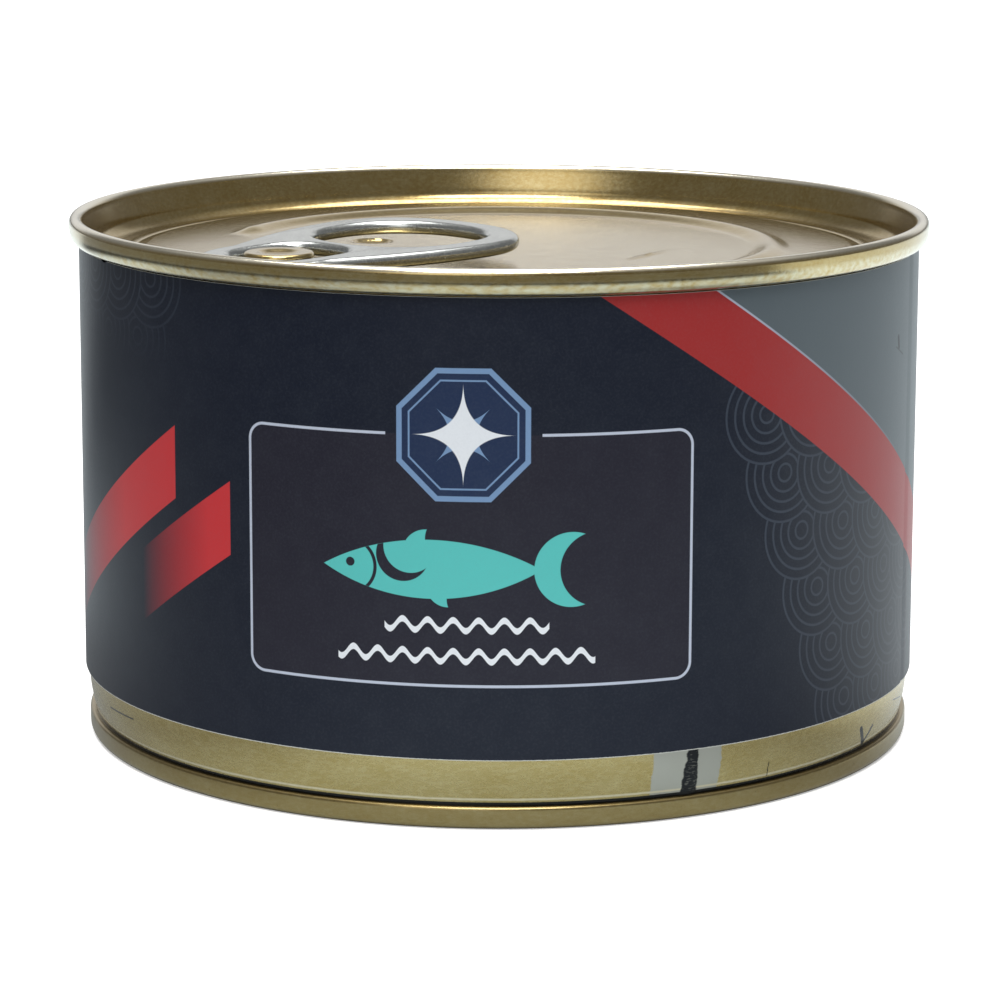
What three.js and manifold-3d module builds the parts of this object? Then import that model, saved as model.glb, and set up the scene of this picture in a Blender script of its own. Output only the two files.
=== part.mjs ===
// A shut, welded tinplate fish can with a ring-pull lid and a paper wrap.
// Millimetres, +Z up, standing on its bottom seam with the origin under its centre.
// The front of the wrap faces -Y, and the nose of the ring pull points to the front left.

import * as THREE from 'three';
import { mergeVertices } from 'three/addons/utils/BufferGeometryUtils.js';
import Module from 'manifold-3d';

const wasm = await Module();
wasm.setup();

// The can as a whole
const CAN_HEIGHT = 52.5;
const SIDES = 96;
const FIT_GAP = 0.3;

// Side wall, drawn in to a neck above the bottom seam
const WALL_RADIUS = 42.05;
const NECK_RADIUS = 41.45;
const NECK_FOOT = 2.5;
const NECK_SHOULDER = 6.6;
const WALL_TOP = CAN_HEIGHT - 6.3;

// Bottom end and its double seam; the underside steps down at a centre disc and at one ring
const FOOT_RADIUS = 42.0;
const FOOT_SEAM_HEIGHT = 2.2;
const FOOT_ROUND = 0.75;
const FOOT_TOP_ROUND = 0.35;
const FOOT_INNER_RADIUS = 39.65;
const END_PANEL_HEIGHT = 3.0;
const END_PRESSED_HEIGHT = 2.4;
const END_DISC_RADIUS = 18;
const END_RING_INNER = 30.5;
const END_RING_OUTER = 35.5;
const END_STEP_WIDTH = 1.5;
const END_GROOVE_INNER = 37.2;
const END_GROOVE_OUTER = 38.7;
const END_GROOVE_HEIGHT = 3.8;
const END_TOP = 4.6;
const END_PLUG_RADIUS = 39.9;

// Lid: double seam, chuck wall, groove, score ring, panel and the round bead that stands on it
const SEAM_RADIUS = 43.35;
const SEAM_HEIGHT = 2.55;
const SEAM_ROUND = 0.65;
const SEAM_SKIRT_RADIUS = 42.5;
const SEAM_SKIRT_RISE = 0.85;
const CHUCK_FOOT_RADIUS = 41.5;
const CHUCK_FOOT_DEPTH = 2.7;
const GROOVE_RADIUS = 39.6;
const GROOVE_DEPTH = 4.3;
const SCORE_RING_OUTER = 38.3;
const SCORE_RING_INNER = 36.4;
const SCORE_RING_DEPTH = 3.8;
const PANEL_RADIUS = 35.8;
const PANEL_DEPTH = 3.5;
const BEAD_OUTER_RADIUS = 29.6;
const BEAD_RADIUS = 27.6;
const BEAD_INNER_RADIUS = 25.4;
const BEAD_DEPTH = 2.95;
const LID_UNDERSIDE_DEPTH = 6.0;

// The bead is left out in an arc round the nose of the ring pull
const BEAD_GAP_START = THREE.MathUtils.degToRad(165);
const BEAD_GAP_END = THREE.MathUtils.degToRad(274);
const BEAD_END_TAPER = THREE.MathUtils.degToRad(7);

// Round dimple pressed into the panel under the far side of the ring
const DIMPLE_X = -13;
const DIMPLE_Y = 2.6;
const DIMPLE_RADIUS = 2;
const DIMPLE_DEPTH = 0.5;

// Paper wrap
const WRAP_INNER_RADIUS = 42.15;
const WRAP_OUTER_RADIUS = 42.4;
const WRAP_BOTTOM = 6.75;
const WRAP_TOP = CAN_HEIGHT - SEAM_HEIGHT - 0.15;

// Ring pull, in its own frame: the rivet at the origin, the ring towards +X
const RIVET_X = -21.1;
const RIVET_Y = -20.3;
const PULL_TURN = THREE.MathUtils.degToRad(45);
const PULL_RISE = 0.025;
const PULL_THICKNESS = 1.4;
const PULL_ROUND = 0.3;
const PULL_BOTTOM = CAN_HEIGHT - 3;
const PULL_ROUNDNESS = 2.3;
const NOSE_LENGTH = 7.6;
const NOSE_HALF_WIDTH = 7.2;
const RING_CENTRE = 17;
const RING_HALF_WIDTH = 11.8;
const RING_REACH = 9.3;
const FINGER_HOLE_CENTRE = 16;
const FINGER_HOLE_HALF_LENGTH = 7.7;
const FINGER_HOLE_HALF_WIDTH = 8.7;
const SLOT_START = -4.1;
const SLOT_END = 6.6;
const SLOT_HALF_WIDTH = 4.9;
const TONGUE_ROOT = -5.7;
const TONGUE_END = 3.9;
const TONGUE_HALF_WIDTH = 3.8;
const TONGUE_THICKNESS = 0.5;
const TONGUE_ROUNDNESS = 3;

// Rivet, raised from the panel's own metal
const RIVET_SHANK_RADIUS = 2.3;
const RIVET_HOLE_RADIUS = 2.65;
const RIVET_HEAD_RADIUS = 3.4;
const RIVET_HEAD_THICKNESS = 0.7;
const RIVET_HEAD_ROUND = 0.25;
const RIVET_CUP_RADIUS = 1.6;
const RIVET_CUP_DEPTH = 0.3;
const RIVET_ROOT_DEPTH = 0.5;
const RIVET_HEAD_FOOT = PULL_BOTTOM + TONGUE_THICKNESS + FIT_GAP;

// Points of an arc in the plane of a profile, from one angle to another in degrees
function arc(centreR, centreZ, radius, from, to, steps) {
  return Array.from({ length: steps + 1 }, (unused, i) => {
    const angle = THREE.MathUtils.degToRad(from + ((to - from) * i) / steps);
    return new THREE.Vector2(centreR + radius * Math.cos(angle), centreZ + radius * Math.sin(angle));
  });
}

const point = (r, z) => new THREE.Vector2(r, z);

// Points of a smooth S-shaped step, level in height at both of its ends
function softStep(from, to, steps) {
  return Array.from({ length: steps + 1 }, (unused, i) => {
    const share = i / steps;
    const eased = (1 - Math.cos(Math.PI * share)) / 2;
    return point(from.x + (to.x - from.x) * share, from.y + (to.y - from.y) * eased);
  });
}

// The same step upright, level in radius at both of its ends
function uprightStep(from, to, steps) {
  const lying = softStep(point(from.y, from.x), point(to.y, to.x), steps);
  return lying.map(({ x, y }) => point(y, x));
}

// A quarter of an ellipse that leaves its first point level and reaches its last point upright
function fillet(from, to, steps) {
  return Array.from({ length: steps + 1 }, (unused, i) => {
    const angle = (Math.PI * i) / (2 * steps);
    const across = Math.sin(angle);
    const up = 1 - Math.cos(angle);
    return point(from.x + (to.x - from.x) * across, from.y + (to.y - from.y) * up);
  });
}

// Part of a parabola that draws in more and more towards its first point, upright at its last one
function drawIn(from, to, steps) {
  return Array.from({ length: steps + 1 }, (unused, i) => {
    const share = i / steps;
    return point(to.x + (from.x - to.x) * (1 - share) ** 2, from.y + (to.y - from.y) * share);
  });
}

// A closed mesh as a solid, and a solid as a closed mesh
function toSolid(geometry) {
  geometry.deleteAttribute('normal');
  geometry.deleteAttribute('uv');
  const merged = mergeVertices(geometry, 1e-4);
  return new wasm.Manifold(
    new wasm.Mesh({
      numProp: 3,
      vertProperties: new Float32Array(merged.attributes.position.array),
      triVerts: new Uint32Array(merged.index.array),
    }),
  );
}

function toGeometry(solid) {
  const { vertProperties, triVerts } = solid.getMesh();
  const geometry = new THREE.BufferGeometry();
  geometry.setAttribute('position', new THREE.BufferAttribute(new Float32Array(vertProperties), 3));
  geometry.setIndex(new THREE.BufferAttribute(new Uint32Array(triVerts), 1));
  geometry.computeVertexNormals();
  return geometry;
}

// A profile of radius and height turned about +Z
function turned(profile, sides = SIDES) {
  return new THREE.LatheGeometry(profile, sides).rotateX(Math.PI / 2);
}

// Superellipse outline about a centre on the X axis
function roundedLoop(centreX, halfLength, halfWidth, power, count) {
  return Array.from({ length: count }, (unused, i) => {
    const angle = (2 * Math.PI * i) / count;
    const along = Math.sign(Math.cos(angle)) * Math.abs(Math.cos(angle)) ** (2 / power);
    const across = Math.sign(Math.sin(angle)) * Math.abs(Math.sin(angle)) ** (2 / power);
    return new THREE.Vector2(centreX + halfLength * along, halfWidth * across);
  });
}

// Welded side wall with the filling inside: solid from the bottom end to the lid
function canBody() {
  const underside = END_TOP + FIT_GAP;
  const wallInside = END_PLUG_RADIUS + FIT_GAP;
  return toSolid(turned([
    point(0, underside),
    point(wallInside, underside),
    point(wallInside, NECK_FOOT),
    ...drawIn(point(NECK_RADIUS, NECK_FOOT), point(WALL_RADIUS, NECK_SHOULDER), 5),
    point(WALL_RADIUS, WALL_TOP),
    point(0, WALL_TOP),
  ]));
}

// Bottom end: recessed panel with a groove and pressed steps, rolled into a double seam
function bottomEnd() {
  const topRoundHeight = FOOT_SEAM_HEIGHT - FOOT_TOP_ROUND;
  return toSolid(turned([
    point(0, END_PRESSED_HEIGHT),
    point(END_DISC_RADIUS, END_PRESSED_HEIGHT),
    point(END_DISC_RADIUS + END_STEP_WIDTH, END_PANEL_HEIGHT),
    point(END_RING_INNER - END_STEP_WIDTH, END_PANEL_HEIGHT),
    point(END_RING_INNER, END_PRESSED_HEIGHT),
    ...softStep(point(END_RING_OUTER, END_PRESSED_HEIGHT), point(END_GROOVE_INNER, END_GROOVE_HEIGHT), 2),
    point(END_GROOVE_OUTER, END_GROOVE_HEIGHT),
    ...arc(FOOT_INNER_RADIUS + FOOT_ROUND, FOOT_ROUND, FOOT_ROUND, 180, 270, 2),
    ...arc(FOOT_RADIUS - FOOT_ROUND, FOOT_ROUND, FOOT_ROUND, -90, 0, 3),
    ...arc(FOOT_RADIUS - FOOT_TOP_ROUND, topRoundHeight, FOOT_TOP_ROUND, 0, 90, 2),
    point(END_PLUG_RADIUS, FOOT_SEAM_HEIGHT),
    point(END_PLUG_RADIUS, END_TOP),
    point(0, END_TOP),
  ]));
}

// How much of the bead stands at an angle round the lid, from 0 to 1
function beadPresence(angle) {
  const turn = (angle + 2 * Math.PI) % (2 * Math.PI);
  const before = THREE.MathUtils.smoothstep(turn, BEAD_GAP_START - BEAD_END_TAPER, BEAD_GAP_START);
  const after = THREE.MathUtils.smoothstep(turn, BEAD_GAP_END, BEAD_GAP_END + BEAD_END_TAPER);
  return 1 - before + after;
}

// Lays the bead down to the panel where the ring pull's nose needs the room
function interruptBead(geometry) {
  const panel = CAN_HEIGHT - PANEL_DEPTH;
  const position = geometry.attributes.position;
  for (let i = 0; i < position.count; i += 1) {
    const radius = Math.hypot(position.getX(i), position.getY(i));
    const rise = position.getZ(i) - panel;
    if (radius < SCORE_RING_INNER && rise > 0) {
      const angle = Math.atan2(position.getY(i), position.getX(i));
      position.setZ(i, panel + rise * beadPresence(angle));
    }
  }
  return geometry;
}

// Rivet button, from inside the panel up to a rounded head over the ring pull's tongue
function rivet() {
  const root = CAN_HEIGHT - PANEL_DEPTH - RIVET_ROOT_DEPTH;
  const top = RIVET_HEAD_FOOT + RIVET_HEAD_THICKNESS;
  return toSolid(turned([
    point(0, root),
    point(RIVET_SHANK_RADIUS, root),
    point(RIVET_SHANK_RADIUS, RIVET_HEAD_FOOT),
    point(RIVET_HEAD_RADIUS, RIVET_HEAD_FOOT),
    point(RIVET_HEAD_RADIUS, top - RIVET_HEAD_ROUND),
    point(RIVET_HEAD_RADIUS - RIVET_HEAD_ROUND, top),
    point(RIVET_CUP_RADIUS, top),
    point(RIVET_CUP_RADIUS - RIVET_CUP_DEPTH, top - RIVET_CUP_DEPTH),
    point(0, top - RIVET_CUP_DEPTH),
  ], 24)).translate(RIVET_X, RIVET_Y, 0);
}

function dimple() {
  const cap = new THREE.SphereGeometry(1, 18, 8).rotateX(Math.PI / 2);
  cap.scale(DIMPLE_RADIUS, DIMPLE_RADIUS, DIMPLE_DEPTH);
  return toSolid(cap).translate(DIMPLE_X, DIMPLE_Y, CAN_HEIGHT - PANEL_DEPTH);
}

// Lid: everything above the filling, with the seam's skirt rolled over the top of the wall
function lid() {
  const underside = CAN_HEIGHT - LID_UNDERSIDE_DEPTH;
  const seamFoot = CAN_HEIGHT - SEAM_HEIGHT;
  const panel = CAN_HEIGHT - PANEL_DEPTH;
  const scoreRing = CAN_HEIGHT - SCORE_RING_DEPTH;
  const beadTop = CAN_HEIGHT - BEAD_DEPTH;
  const chuckFoot = CAN_HEIGHT - CHUCK_FOOT_DEPTH;
  const groove = CAN_HEIGHT - GROOVE_DEPTH;
  const pan = turned([
    point(0, underside),
    point(WALL_RADIUS, underside),
    point(WALL_RADIUS, seamFoot),
    ...arc(SEAM_SKIRT_RADIUS, seamFoot + SEAM_SKIRT_RISE, SEAM_SKIRT_RISE, -90, 0, 3),
    ...arc(SEAM_RADIUS - SEAM_ROUND, CAN_HEIGHT - SEAM_ROUND, SEAM_ROUND, 0, 180, 6),
    ...fillet(point(GROOVE_RADIUS, groove), point(CHUCK_FOOT_RADIUS, chuckFoot), 3).reverse(),
    ...softStep(point(GROOVE_RADIUS, groove), point(SCORE_RING_OUTER, scoreRing), 3).slice(1),
    ...uprightStep(point(SCORE_RING_INNER, scoreRing), point(PANEL_RADIUS, panel), 2),
    ...softStep(point(BEAD_OUTER_RADIUS, panel), point(BEAD_RADIUS, beadTop), 2),
    ...softStep(point(BEAD_RADIUS, beadTop), point(BEAD_INNER_RADIUS, panel), 3).slice(1),
    point(0, panel),
  ]);
  return toSolid(interruptBead(pan)).add(rivet()).subtract(dimple());
}

function wrap() {
  return toSolid(turned([
    point(WRAP_INNER_RADIUS, WRAP_BOTTOM),
    point(WRAP_OUTER_RADIUS, WRAP_BOTTOM),
    point(WRAP_OUTER_RADIUS, WRAP_TOP),
    point(WRAP_INNER_RADIUS, WRAP_TOP),
    point(WRAP_INNER_RADIUS, WRAP_BOTTOM),
  ]));
}

// Half the width of the ring pull at a place along its length
function pullHalfWidth(x) {
  if (x > RING_CENTRE) {
    const beyond = Math.min(1, (x - RING_CENTRE) / RING_REACH);
    return RING_HALF_WIDTH * (1 - beyond ** PULL_ROUNDNESS) ** (1 / PULL_ROUNDNESS);
  }
  if (x > 0) {
    const share = Math.sin((Math.PI * x) / (2 * RING_CENTRE));
    return THREE.MathUtils.lerp(NOSE_HALF_WIDTH, RING_HALF_WIDTH, share);
  }
  const ahead = Math.min(1, -x / NOSE_LENGTH);
  return NOSE_HALF_WIDTH * (1 - ahead ** PULL_ROUNDNESS) ** (1 / PULL_ROUNDNESS);
}

// Outline of the ring pull, close-spaced towards both rounded ends
function pullOutline() {
  const steps = 26;
  const side = Array.from({ length: steps + 1 }, (unused, i) => {
    const share = (1 - Math.cos((Math.PI * i) / steps)) / 2;
    const x = -NOSE_LENGTH + (NOSE_LENGTH + RING_CENTRE + RING_REACH) * share;
    return new THREE.Vector2(x, -pullHalfWidth(x));
  });
  const back = side.slice(1, -1).reverse().map(({ x, y }) => new THREE.Vector2(x, -y));
  return [...side, ...back];
}

function plate(outline, holes, thickness, round) {
  const shape = new THREE.Shape(outline);
  shape.holes = holes.map((loop) => new THREE.Path([...loop].reverse()));
  const geometry = new THREE.ExtrudeGeometry(shape, {
    depth: thickness - 2 * round,
    bevelEnabled: round > 0,
    bevelThickness: round,
    bevelSize: round,
    bevelOffset: -round,
    bevelSegments: 2,
    curveSegments: 1,
  });
  return toSolid(geometry.translate(0, 0, round));
}

// Ring pull: rolled-edge plate with a finger hole, and a thin tongue that the rivet holds
function ringPull() {
  const slotMiddle = (SLOT_START + SLOT_END) / 2;
  const slotHalf = (SLOT_END - SLOT_START) / 2;
  const tongueMiddle = (TONGUE_ROOT + TONGUE_END) / 2;
  const tongueHalf = (TONGUE_END - TONGUE_ROOT) / 2;
  const ring = plate(
    pullOutline(),
    [
      roundedLoop(FINGER_HOLE_CENTRE, FINGER_HOLE_HALF_LENGTH, FINGER_HOLE_HALF_WIDTH, PULL_ROUNDNESS, 36),
      roundedLoop(slotMiddle, slotHalf, SLOT_HALF_WIDTH, TONGUE_ROUNDNESS, 28),
    ],
    PULL_THICKNESS,
    PULL_ROUND,
  );
  const tongue = plate(
    roundedLoop(tongueMiddle, tongueHalf, TONGUE_HALF_WIDTH, TONGUE_ROUNDNESS, 24),
    [roundedLoop(0, RIVET_HOLE_RADIUS, RIVET_HOLE_RADIUS, 2, 20)],
    TONGUE_THICKNESS,
    0,
  );
  return ring.add(tongue);
}

function subPart(name, solid, material) {
  const mesh = new THREE.Mesh(toGeometry(solid), new THREE.MeshStandardMaterial(material));
  mesh.name = name;
  return mesh;
}

// The finishes, and the can put together from its sub-parts
const tinplate = { color: 0x8f7647, roughness: 0.35, metalness: 0.9 };
const lidMetal = { color: 0xa99a78, roughness: 0.28, metalness: 0.9 };
const pullMetal = { color: 0xb9bec4, roughness: 0.25, metalness: 1 };
const printedPaper = { color: 0x1f2534, roughness: 0.55, metalness: 0 };

const can = new THREE.Group();
can.add(subPart('can_body', canBody(), tinplate));
can.add(subPart('bottom_end', bottomEnd(), tinplate));
can.add(subPart('lid', lid(), lidMetal));
can.add(subPart('wrap', wrap(), printedPaper));

const pull = subPart('ring_pull', ringPull(), pullMetal);
pull.rotation.set(0, -PULL_RISE, PULL_TURN, 'ZYX');
pull.position.set(RIVET_X, RIVET_Y, PULL_BOTTOM);
can.add(pull);

export default can;
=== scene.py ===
# A shut fish can with a ring-pull lid and a printed paper wrap, dressed piece by piece.
# Lengths are millimetres, taken from the frame or beside the piece they shape; a mesh is
# turned into metres where it is made. The floor and the lamps are in metres. The front of the
# can faces -Y.

import math

import bmesh
import bpy
from mathutils import Matrix, Vector


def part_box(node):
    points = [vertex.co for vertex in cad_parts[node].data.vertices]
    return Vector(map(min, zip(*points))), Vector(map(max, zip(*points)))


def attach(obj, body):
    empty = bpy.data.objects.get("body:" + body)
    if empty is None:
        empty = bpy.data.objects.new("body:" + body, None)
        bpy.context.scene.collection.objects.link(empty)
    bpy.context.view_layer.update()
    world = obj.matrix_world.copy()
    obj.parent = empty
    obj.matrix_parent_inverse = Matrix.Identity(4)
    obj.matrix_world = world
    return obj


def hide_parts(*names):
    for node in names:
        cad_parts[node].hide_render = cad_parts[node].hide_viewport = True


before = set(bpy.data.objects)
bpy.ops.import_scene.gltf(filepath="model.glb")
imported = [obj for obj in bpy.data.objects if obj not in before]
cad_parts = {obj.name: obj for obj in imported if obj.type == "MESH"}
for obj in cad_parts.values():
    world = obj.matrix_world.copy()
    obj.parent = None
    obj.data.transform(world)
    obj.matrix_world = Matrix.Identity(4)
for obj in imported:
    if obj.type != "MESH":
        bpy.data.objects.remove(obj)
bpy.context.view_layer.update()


# Camera, floor and light. The can stands on a white table in a dim room, with a pale ceiling and
# a bright window behind it. One softbox hangs over the can and one high over the camera, with a
# soft glow low to the camera's left, so the lacquer shows dark gold between its bright lines.

MM = 0.001
CAMERA_DISTANCE = 360
CAMERA_HEIGHT = 96.7
CAMERA_PITCH = 0.1752
CAMERA_ROLL = 0.0028
CAMERA_YAW = 0.0004
CAMERA_LENS = 128.6
CAMERA_SENSOR = 36
CAMERA_SHIFT = -0.1
CAMERA_NEAR = 10

camera = bpy.data.objects.new("camera", bpy.data.cameras.new("camera"))
camera.data.lens = CAMERA_LENS
camera.data.sensor_width = CAMERA_SENSOR
camera.data.shift_y = CAMERA_SHIFT
camera.data.clip_start = CAMERA_NEAR * MM
camera.matrix_world = (
    Matrix.Translation(Vector((0, -CAMERA_DISTANCE, CAMERA_HEIGHT)) * MM)
    @ Matrix.Rotation(-CAMERA_YAW, 4, "Z")
    @ Matrix.Rotation(math.pi / 2 - CAMERA_PITCH, 4, "X")
    @ Matrix.Rotation(CAMERA_ROLL, 4, "Z")
)
bpy.context.scene.collection.objects.link(camera)
bpy.context.scene.camera = camera
bpy.context.scene.view_settings.view_transform = "Standard"


class Field:
    """A number that varies over a surface or a direction, written with plain arithmetic."""

    def __init__(self, tree, socket):
        self.tree = tree
        self.socket = socket

    def math(self, operation, *others, clamp=False):
        node = self.tree.nodes.new("ShaderNodeMath")
        node.operation = operation
        node.use_clamp = clamp
        for socket, value in zip(node.inputs, (self, *others)):
            if isinstance(value, Field):
                self.tree.links.new(value.socket, socket)
            else:
                socket.default_value = value
        return Field(self.tree, node.outputs[0])

    def __add__(self, other):
        return self.math("ADD", other)

    def __sub__(self, other):
        return self.math("SUBTRACT", other)

    def __mul__(self, other):
        return self.math("MULTIPLY", other)

    def __truediv__(self, other):
        return self.math("DIVIDE", other)

    def __rsub__(self, other):
        return self * -1 + other

    def __abs__(self):
        return self.math("ABSOLUTE")

    __radd__ = __add__
    __rmul__ = __mul__

    def least(self, other):
        return self.math("MINIMUM", other)

    def most(self, other):
        return self.math("MAXIMUM", other)

    def root(self):
        return self.most(0).math("SQRT")

    def ramp(self, start, end):
        """0 at start, 1 at end, straight between and held outside."""
        return ((self - start) * (1 / (end - start))).math("ADD", 0, clamp=True)


def axes_of(tree, output):
    """The three numbers of a texture coordinate."""
    place = tree.nodes.new("ShaderNodeTexCoord")
    split = tree.nodes.new("ShaderNodeSeparateXYZ")
    tree.links.new(place.outputs[output], split.inputs[0])
    return [Field(tree, socket) for socket in split.outputs]


def camera_sees(tree):
    return Field(tree, tree.nodes.new("ShaderNodeLightPath").outputs["Is Camera Ray"])


def mixed(tree, below, above, share):
    """The colour below with the colour above laid over it by a share; each is a socket or a colour."""
    node = tree.nodes.new("ShaderNodeMix")
    node.data_type = "RGBA"
    node.clamp_factor = True
    for socket, value in ((node.inputs[6], below), (node.inputs[7], above)):
        if isinstance(value, tuple):
            socket.default_value = value
        else:
            tree.links.new(value, socket)
    tree.links.new(share.socket, node.inputs[0])
    return node.outputs[2]


PLAIN_WHITE = (1, 1, 1, 1)
BLACK = (0, 0, 0, 1)
ROOM_DIM = 0.2
WINDOW_BRIGHT = 0.78
CEILING_BRIGHT = 0.6
GLOW_BRIGHT = 1.6
GLOW_AZIMUTH = math.radians(-14)
GLOW_ELEVATION = math.radians(24)

# Soft edges of the lights: the part of a unit direction where each one starts, and where it is full
WINDOW_SIDES = (0.72, 0.88)
WINDOW_FOOT = (0.04, 0.09)
CEILING_EDGE = (0.4, 0.9)
GLOW_EDGE = (0.88, 0.99)

world = bpy.data.worlds.new("room")
world.use_nodes = True
bpy.context.scene.world = world
to_right, to_back, upward = axes_of(world.node_tree, "Generated")
window = to_back.ramp(*WINDOW_SIDES) * upward.ramp(*WINDOW_FOOT) * WINDOW_BRIGHT
ceiling = upward.ramp(*CEILING_EDGE) * CEILING_BRIGHT
towards_glow = (
    to_right * (math.sin(GLOW_AZIMUTH) * math.cos(GLOW_ELEVATION))
    - to_back * (math.cos(GLOW_AZIMUTH) * math.cos(GLOW_ELEVATION))
    + upward * math.sin(GLOW_ELEVATION)
)
glow = towards_glow.ramp(*GLOW_EDGE) * towards_glow.ramp(*GLOW_EDGE) * GLOW_BRIGHT
room_light = window.most(ceiling).most(glow).most(ROOM_DIM).most(camera_sees(world.node_tree))
world.node_tree.links.new(room_light.socket, world.node_tree.nodes["Background"].inputs["Strength"])
world.node_tree.nodes["Background"].inputs["Color"].default_value = PLAIN_WHITE

FLOOR_HALF = 3.0
FLOOR_WHITE = (0.93, 0.93, 0.93, 1)
FLOOR_GLOW = 0.4
FLOOR_ROUGHNESS = 0.9
FLOOR_SPECULAR = 0.1
TABLE_WHITE = (0.62, 0.69, 0.72, 1)
TABLE_SHADE = (0.30, 0.32, 0.33, 1)
TABLE_DARK = (0.03, 0.033, 0.036, 1)
TABLE_EDGE = (0.22, 0.235, 0.24, 1)
TABLE_BACK = (0.86, 0.94, 0.97, 1)

# The camera sees a plain white floor, and the can's metal reflects a table: pale behind and near
# the can, shaded beside its foot and at the left in front, and dark further off in front. Each
# pair is where a patch starts and where it is full, across, along or out from the can's axis.
FOOT_SHADE_ACROSS = (0.022, 0.045)
FOOT_SHADE_REACH = (0.09, 0.065)
LEFT_SHADE_ACROSS = (-0.02, -0.08)
LEFT_SHADE_ALONG = (0.02, -0.03)
LEFT_SHADE_DEPTH = 0.9
FRONT_EDGE = (0.03, -0.01)
FRONT_SLANT_RIGHT = 0.35
FRONT_SLANT_LEFT = 1.1
DARK_REACH = (0.13, 0.20)
EDGE_REACH = (0.26, 0.31)

floor_mesh = bpy.data.meshes.new("floor")
floor_corners = [(x * FLOOR_HALF, y * FLOOR_HALF, 0) for x, y in ((-1, -1), (1, -1), (1, 1), (-1, 1))]
floor_mesh.from_pydata(floor_corners, [], [(0, 1, 2, 3)])
floor = bpy.data.objects.new("floor", floor_mesh)
bpy.context.scene.collection.objects.link(floor)
floor_paint = bpy.data.materials.new("white table")
floor_paint.use_nodes = True
floor_tree = floor_paint.node_tree
floor_across, floor_along = axes_of(floor_tree, "Object")[:2]
from_can = (floor_across * floor_across + floor_along * floor_along).root()
seen = camera_sees(floor_tree)
beside_foot = abs(floor_across).ramp(*FOOT_SHADE_ACROSS) * from_can.ramp(*FOOT_SHADE_REACH)
left_front = floor_across.ramp(*LEFT_SHADE_ACROSS) * floor_along.ramp(*LEFT_SHADE_ALONG)
shaded = beside_foot.most(left_front * LEFT_SHADE_DEPTH)
table = mixed(floor_tree, TABLE_WHITE, TABLE_SHADE, shaded)
right_slant = floor_across.most(0) * FRONT_SLANT_RIGHT
left_slant = floor_across.least(0) * FRONT_SLANT_LEFT
in_front = (floor_along + right_slant + left_slant).ramp(*FRONT_EDGE)
table = mixed(floor_tree, TABLE_BACK, table, in_front)
table = mixed(floor_tree, table, TABLE_DARK, from_can.ramp(*DARK_REACH) * in_front)
table = mixed(floor_tree, table, TABLE_EDGE, from_can.ramp(*EDGE_REACH) * in_front)
floor_colour = mixed(floor_tree, table, FLOOR_WHITE, seen)
floor_glow = mixed(floor_tree, BLACK, PLAIN_WHITE, seen)
floor_shader = floor_tree.nodes["Principled BSDF"]
floor_tree.links.new(floor_colour, floor_shader.inputs["Base Color"])
floor_tree.links.new(floor_glow, floor_shader.inputs["Emission Color"])
floor_shader.inputs["Emission Strength"].default_value = FLOOR_GLOW
floor_shader.inputs["Roughness"].default_value = FLOOR_ROUGHNESS
floor_shader.inputs["Specular IOR Level"].default_value = FLOOR_SPECULAR
floor_mesh.materials.append(floor_paint)


def softbox(name, azimuth, elevation, distance, width, height, watts):
    """A rectangular lamp aimed at the can; azimuth 0 is over the camera, positive to the right."""
    lamp = bpy.data.lights.new(name, "AREA")
    lamp.shape = "RECTANGLE"
    lamp.size = width
    lamp.size_y = height
    lamp.energy = watts
    turn = math.radians(azimuth)
    rise = math.radians(elevation)
    direction = Vector((math.sin(turn) * math.cos(rise), -math.cos(turn) * math.cos(rise), math.sin(rise)))
    holder = bpy.data.objects.new(name, lamp)
    holder.location = direction * distance
    holder.rotation_euler = direction.to_track_quat("Z", "Y").to_euler()
    bpy.context.scene.collection.objects.link(holder)


softbox("key", azimuth=0, elevation=62, distance=1.2, width=0.62, height=0.5, watts=8.5)
softbox("over_back", azimuth=10, elevation=100, distance=1.4, width=1.2, height=0.8, watts=14)


# Side wall: tinplate rolled into a tube and welded, gold-lacquered but for a bare strip along
# the weld, and drawn in to a neck where the bottom is seamed on. Most of it is under the wrap.

can_low, can_high = [Vector(corner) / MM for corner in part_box("can_body")]
WALL_RADIUS = can_high.x
NECK_RADIUS = 41.45
NECK_FOOT = can_low.z
NECK_SHOULDER = 6.6
WALL_INSIDE = 40.2
WALL_FACE = WALL_RADIUS - 0.02
WALL_TUCK = 0.3
WALL_SEGMENTS = 720
MM_PER_DEGREE = WALL_RADIUS * math.radians(1)
BODY_UNDERSIDE = 4.9
WELD_ANGLE = 25.65
WELD_HALF = 0.8
WELD_SPREAD = 0.09
WELD_SLANT = 0.07
WELD_RISE = 0.09
OUTER_FACE_DEPTH = 0.5
BARE_LEFT = 20.2
BARE_RIGHT = 30.0

# Marks in the lacquer below the wrap: start and end as degrees from the front and height, half width
SCUFFS = (
    ((37.9, 2.7), (37.9, 4.1), 0.05),
    ((58.0, 4.4), (59.4, 2.7), 0.3),
    ((59.4, 2.7), (61.8, 4.1), 0.17),
    ((69.8, 5.3), (75.6, 4.6), 0.07),
    ((-66.0, 5.0), (-57.9, 5.2), 0.08),
)


def arc(radius, height, curve, start, end, steps):
    """Points of an arc in a turned profile, from one angle to another in degrees."""
    turns = [math.radians(start + (end - start) * i / steps) for i in range(steps + 1)]
    return [(radius + curve * math.cos(turn), height + curve * math.sin(turn)) for turn in turns]


def soft_step(start, end, steps, upright=False):
    """An S-shaped step in a turned profile, level at both ends, or upright at both ends."""
    points = []
    for i in range(steps + 1):
        share = i / steps
        eased = (1 - math.cos(math.pi * share)) / 2
        along_radius, along_height = (eased, share) if upright else (share, eased)
        points.append((
            start[0] + (end[0] - start[0]) * along_radius,
            start[1] + (end[1] - start[1]) * along_height,
        ))
    return points


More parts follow.
